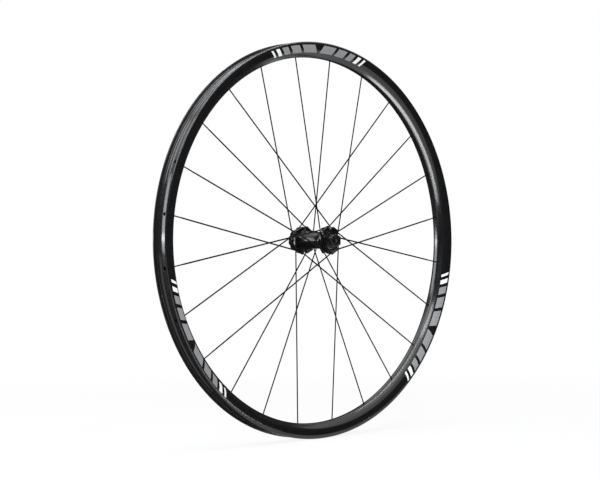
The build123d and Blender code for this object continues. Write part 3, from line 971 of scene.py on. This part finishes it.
class WHEEL_OT_stage(bpy.types.Operator):
    """Set the floor, the lights and the camera"""

    bl_idname = "wheel.stage"
    bl_label = "Stage"

    # Name, place, the direction in which it shines, that of its length, length, width, power in watts.
    lights = (
        ("overhead", (0.0, -0.82, 1.68), (0, 0.45, -0.89), (0.89, 0.41, 0.21), 2.3, 0.14, 23),
        ("front_left", (-0.8, -1.21, 0.78), (0.58, 0.65, -0.49), (0.54, 0.21, 0.82), 1.0, 0.11, 4.8),
        ("zenith", (-0.35, -0.08, 1.75), (0, 0, -1), (1, 0, 0), 1.2, 0.4, 16),
        ("high_left", (-1.35, 0.1, 1.25), (0.73, -0.06, -0.68), (0, 1, 0), 1.5, 1.0, 21),
        ("back_left", (-1.83, 1.73, 0.48), (0.68, -0.74, -0.15), (0.74, 0.68, 0), 0.85, 1.35, 20),
        ("back_strip", (-1.62, 1.75, 0.05), (0.68, -0.74, 0), (0.74, 0.68, 0), 1.1, 0.1, 5),
        ("back_high", (-0.65, 1.95, 1.6), (0.25, -0.76, -0.6), (0.95, 0.31, 0), 1.9, 0.8, 4),
        ("low_front", (-0.13, -0.49, -0.3), (0, 0, 1), (0.8, 0.6, 0), 1.0, 0.05, 2.6),
    )
    # The dark screens: distance and height over the floor of both edges, then where each one starts and
    # how far it runs round the wheel, in degrees.
    screens = (
        ((1.15, 0.0), (1.15, 0.95), -140, 180),
        ((2.9, 0.0), (2.9, 2.2), 15, 205),
        ((0.08, 0.005), (2.6, 0.005), 20, 165),
    )
    screen_steps = 24
    floor_drop = 0.2 * MM

    def floor(self, stage, material):
        """A wide sheet of paper just under the wheel."""
        height = CAD_BOX[0].z - self.floor_drop
        bpy.ops.object.select_all(action="DESELECT")
        bpy.ops.mesh.primitive_plane_add(size=stage.floor_size, location=(0, 0, height))
        floor = bpy.context.object
        floor.name = "floor"
        bpy.ops.object.transform_apply(location=True)
        floor.data.materials.append(material)

    def dark_screens(self, material):
        """Dark screens, upright and on the floor behind, which only the gloss mirrors."""
        for near, far, start, sweep in self.screens:
            screen = start_piece("dark_screen")
            outward = Vector((cos(radians(start)), sin(radians(start)), 0))
            edges = [outward * away + Vector((0, 0, CAD_BOX[0].z + up)) for away, up in (near, far)]
            draw_line(edges)
            bpy.ops.mesh.select_all(action="SELECT")
            bpy.ops.mesh.spin(
                steps=self.screen_steps, angle=-radians(sweep), center=(0, 0, 0), axis=(0, 0, 1)
            )
            end_edit()
            screen.visible_camera = False
            screen.visible_diffuse = False
            screen.visible_shadow = False
            screen.data.materials.append(material)

    def room(self, stage):
        """A white room for the camera and for reflections, and a dim one for all other light."""
        world = bpy.data.worlds.new("room")
        bpy.context.scene.world = world
        world.use_nodes = True
        tree = world.node_tree
        shader = tree.nodes["Background"]
        shader.inputs["Color"].default_value = (1, 1, 1, 1)
        seen = seen_rays(tree, (-800, 0))
        strength = math_node(tree, "MULTIPLY_ADD", (-200, 0), seen, 1 - stage.fill, stage.fill)
        tree.links.new(strength, shader.inputs["Strength"])

    def lamps(self, scene, tint):
        """Strips and panels of light round the wheel."""
        for name, place, shine, along, long, wide, power in self.lights:
            data = bpy.data.lights.new(name, "AREA")
            data.shape = "RECTANGLE"
            data.size = long
            data.size_y = wide
            data.energy = power
            data.color = tint
            light = bpy.data.objects.new(name, data)
            scene.collection.objects.link(light)
            back = -Vector(shine).normalized()
            side = (Vector(along) - back * back.dot(Vector(along))).normalized()
            turn = Matrix((side, back.cross(side), back)).transposed().to_4x4()
            light.matrix_world = Matrix.Translation(place) @ turn

    def camera(self, scene, stage):
        """The camera, at the place from which the wheel is seen."""
        camera = bpy.data.objects.new("camera", bpy.data.cameras.new("camera"))
        scene.collection.objects.link(camera)
        camera.data.lens = stage.lens
        camera.data.clip_end = 2 * stage.floor_size
        look = Vector(stage.look).normalized()
        right = look.cross(Vector(stage.head)).normalized()
        turn = Matrix((right, right.cross(look), -look)).transposed().to_4x4()
        camera.matrix_world = Matrix.Translation(stage.eye) @ turn
        scene.camera = camera

    def execute(self, context):
        stage = context.scene.wheel_stage
        finishes = context.scene.wheel_finishes
        self.floor(stage, stage_material("floor_paper", finishes.floor))
        self.dark_screens(new_material("dark_cloth", finishes.screen, Roughness=1.0)[0])
        self.room(stage)
        self.lamps(context.scene, stage.tint)
        self.camera(context.scene, stage)
        context.scene.view_settings.view_transform = "Standard"
        return {"FINISHED"}


class WHEEL_PT_panel(bpy.types.Panel):
    """The wheel's pieces in the order in which they are made"""

    bl_idname = "WHEEL_PT_panel"
    bl_label = "Bicycle Wheel"
    bl_space_type = "VIEW_3D"
    bl_region_type = "UI"
    bl_category = "Wheel"

    def draw(self, context):
        for operator in OPERATORS:
            self.layout.operator(operator.bl_idname)
        for group in GROUP_NAMES:
            values = getattr(context.scene, group)
            box = self.layout.box()
            box.label(text=values.__doc__)
            for key in values.__annotations__:
                box.prop(values, key)


GROUP_NAMES = {
    "wheel_rim": RimSizes,
    "wheel_marks": MarkSizes,
    "wheel_spokes": SpokeSizes,
    "wheel_hub": HubSizes,
    "wheel_finishes": Finishes,
    "wheel_stage": StageSizes,
}
OPERATORS = (
    WHEEL_OT_rim,
    WHEEL_OT_rim_marks,
    WHEEL_OT_spokes,
    WHEEL_OT_hub,
    WHEEL_OT_fittings,
    WHEEL_OT_stage,
)
CLASSES = (*GROUP_NAMES.values(), *OPERATORS, WHEEL_PT_panel)


def register():
    """Registers the classes and gives the scene their values."""
    for item in CLASSES:
        bpy.utils.register_class(item)
    for name, group in GROUP_NAMES.items():
        setattr(bpy.types.Scene, name, PointerProperty(type=group))


def unregister():
    """Takes back what register did, in the other order."""
    for name in GROUP_NAMES:
        delattr(bpy.types.Scene, name)
    for item in reversed(CLASSES):
        bpy.utils.unregister_class(item)


def main():
    """Makes the wheel piece by piece."""
    register()
    bpy.ops.wheel.rim()
    bpy.ops.wheel.rim_marks()
    bpy.ops.wheel.spokes()
    bpy.ops.wheel.hub()
    bpy.ops.wheel.fittings()
    bpy.ops.wheel.stage()


if __name__ == "__main__":
    main()
